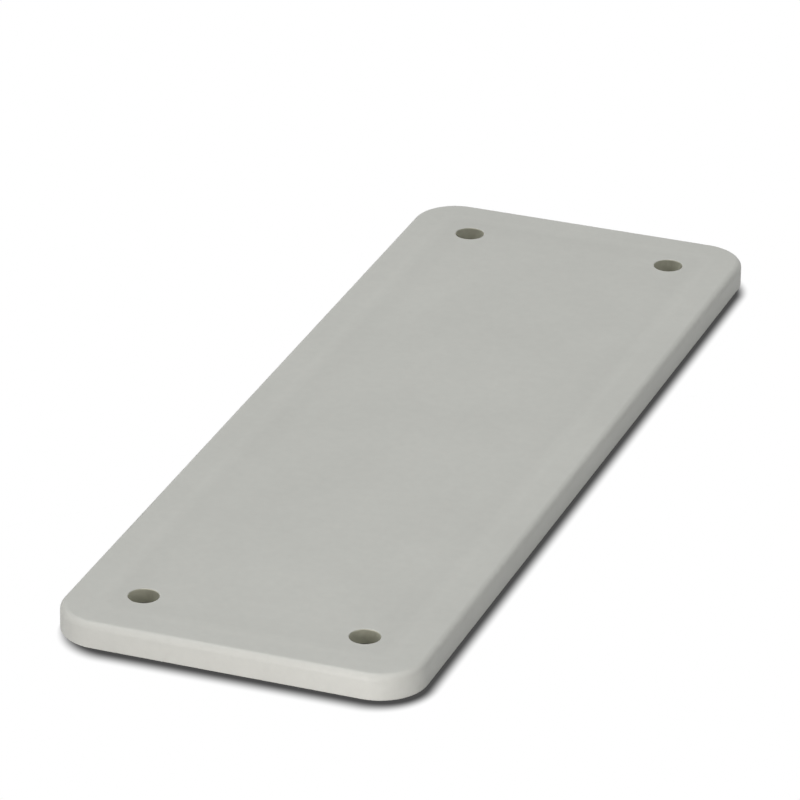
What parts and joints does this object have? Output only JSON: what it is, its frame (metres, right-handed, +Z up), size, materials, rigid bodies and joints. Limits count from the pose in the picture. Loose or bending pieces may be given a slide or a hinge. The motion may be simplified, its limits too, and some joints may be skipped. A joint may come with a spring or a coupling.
{
  "type": "connector cut-out cover plate",
  "caption": "Flat rectangular moulded cover plate with round corners, a rounded top edge, corner screw holes and a frame-shaped rubber seal in a recess underneath.",
  "frame": {"origin": "under the middle of the plate, on the plane of the seal's underside", "axes": "+X across the plate, +Y along its length, +Z up through its outer face"},
  "size_m": [0.0524, 0.1504, 0.0043],
  "materials": {
    "grey_plastic": "fine matte moulded surface, light grey",
    "black_rubber": "matte die-cut sheet rubber, black"
  },
  "bodies": {
    "root": {"cover_plate": "grey_plastic", "flat_seal": "black_rubber"}
  },
  "joints": []
}
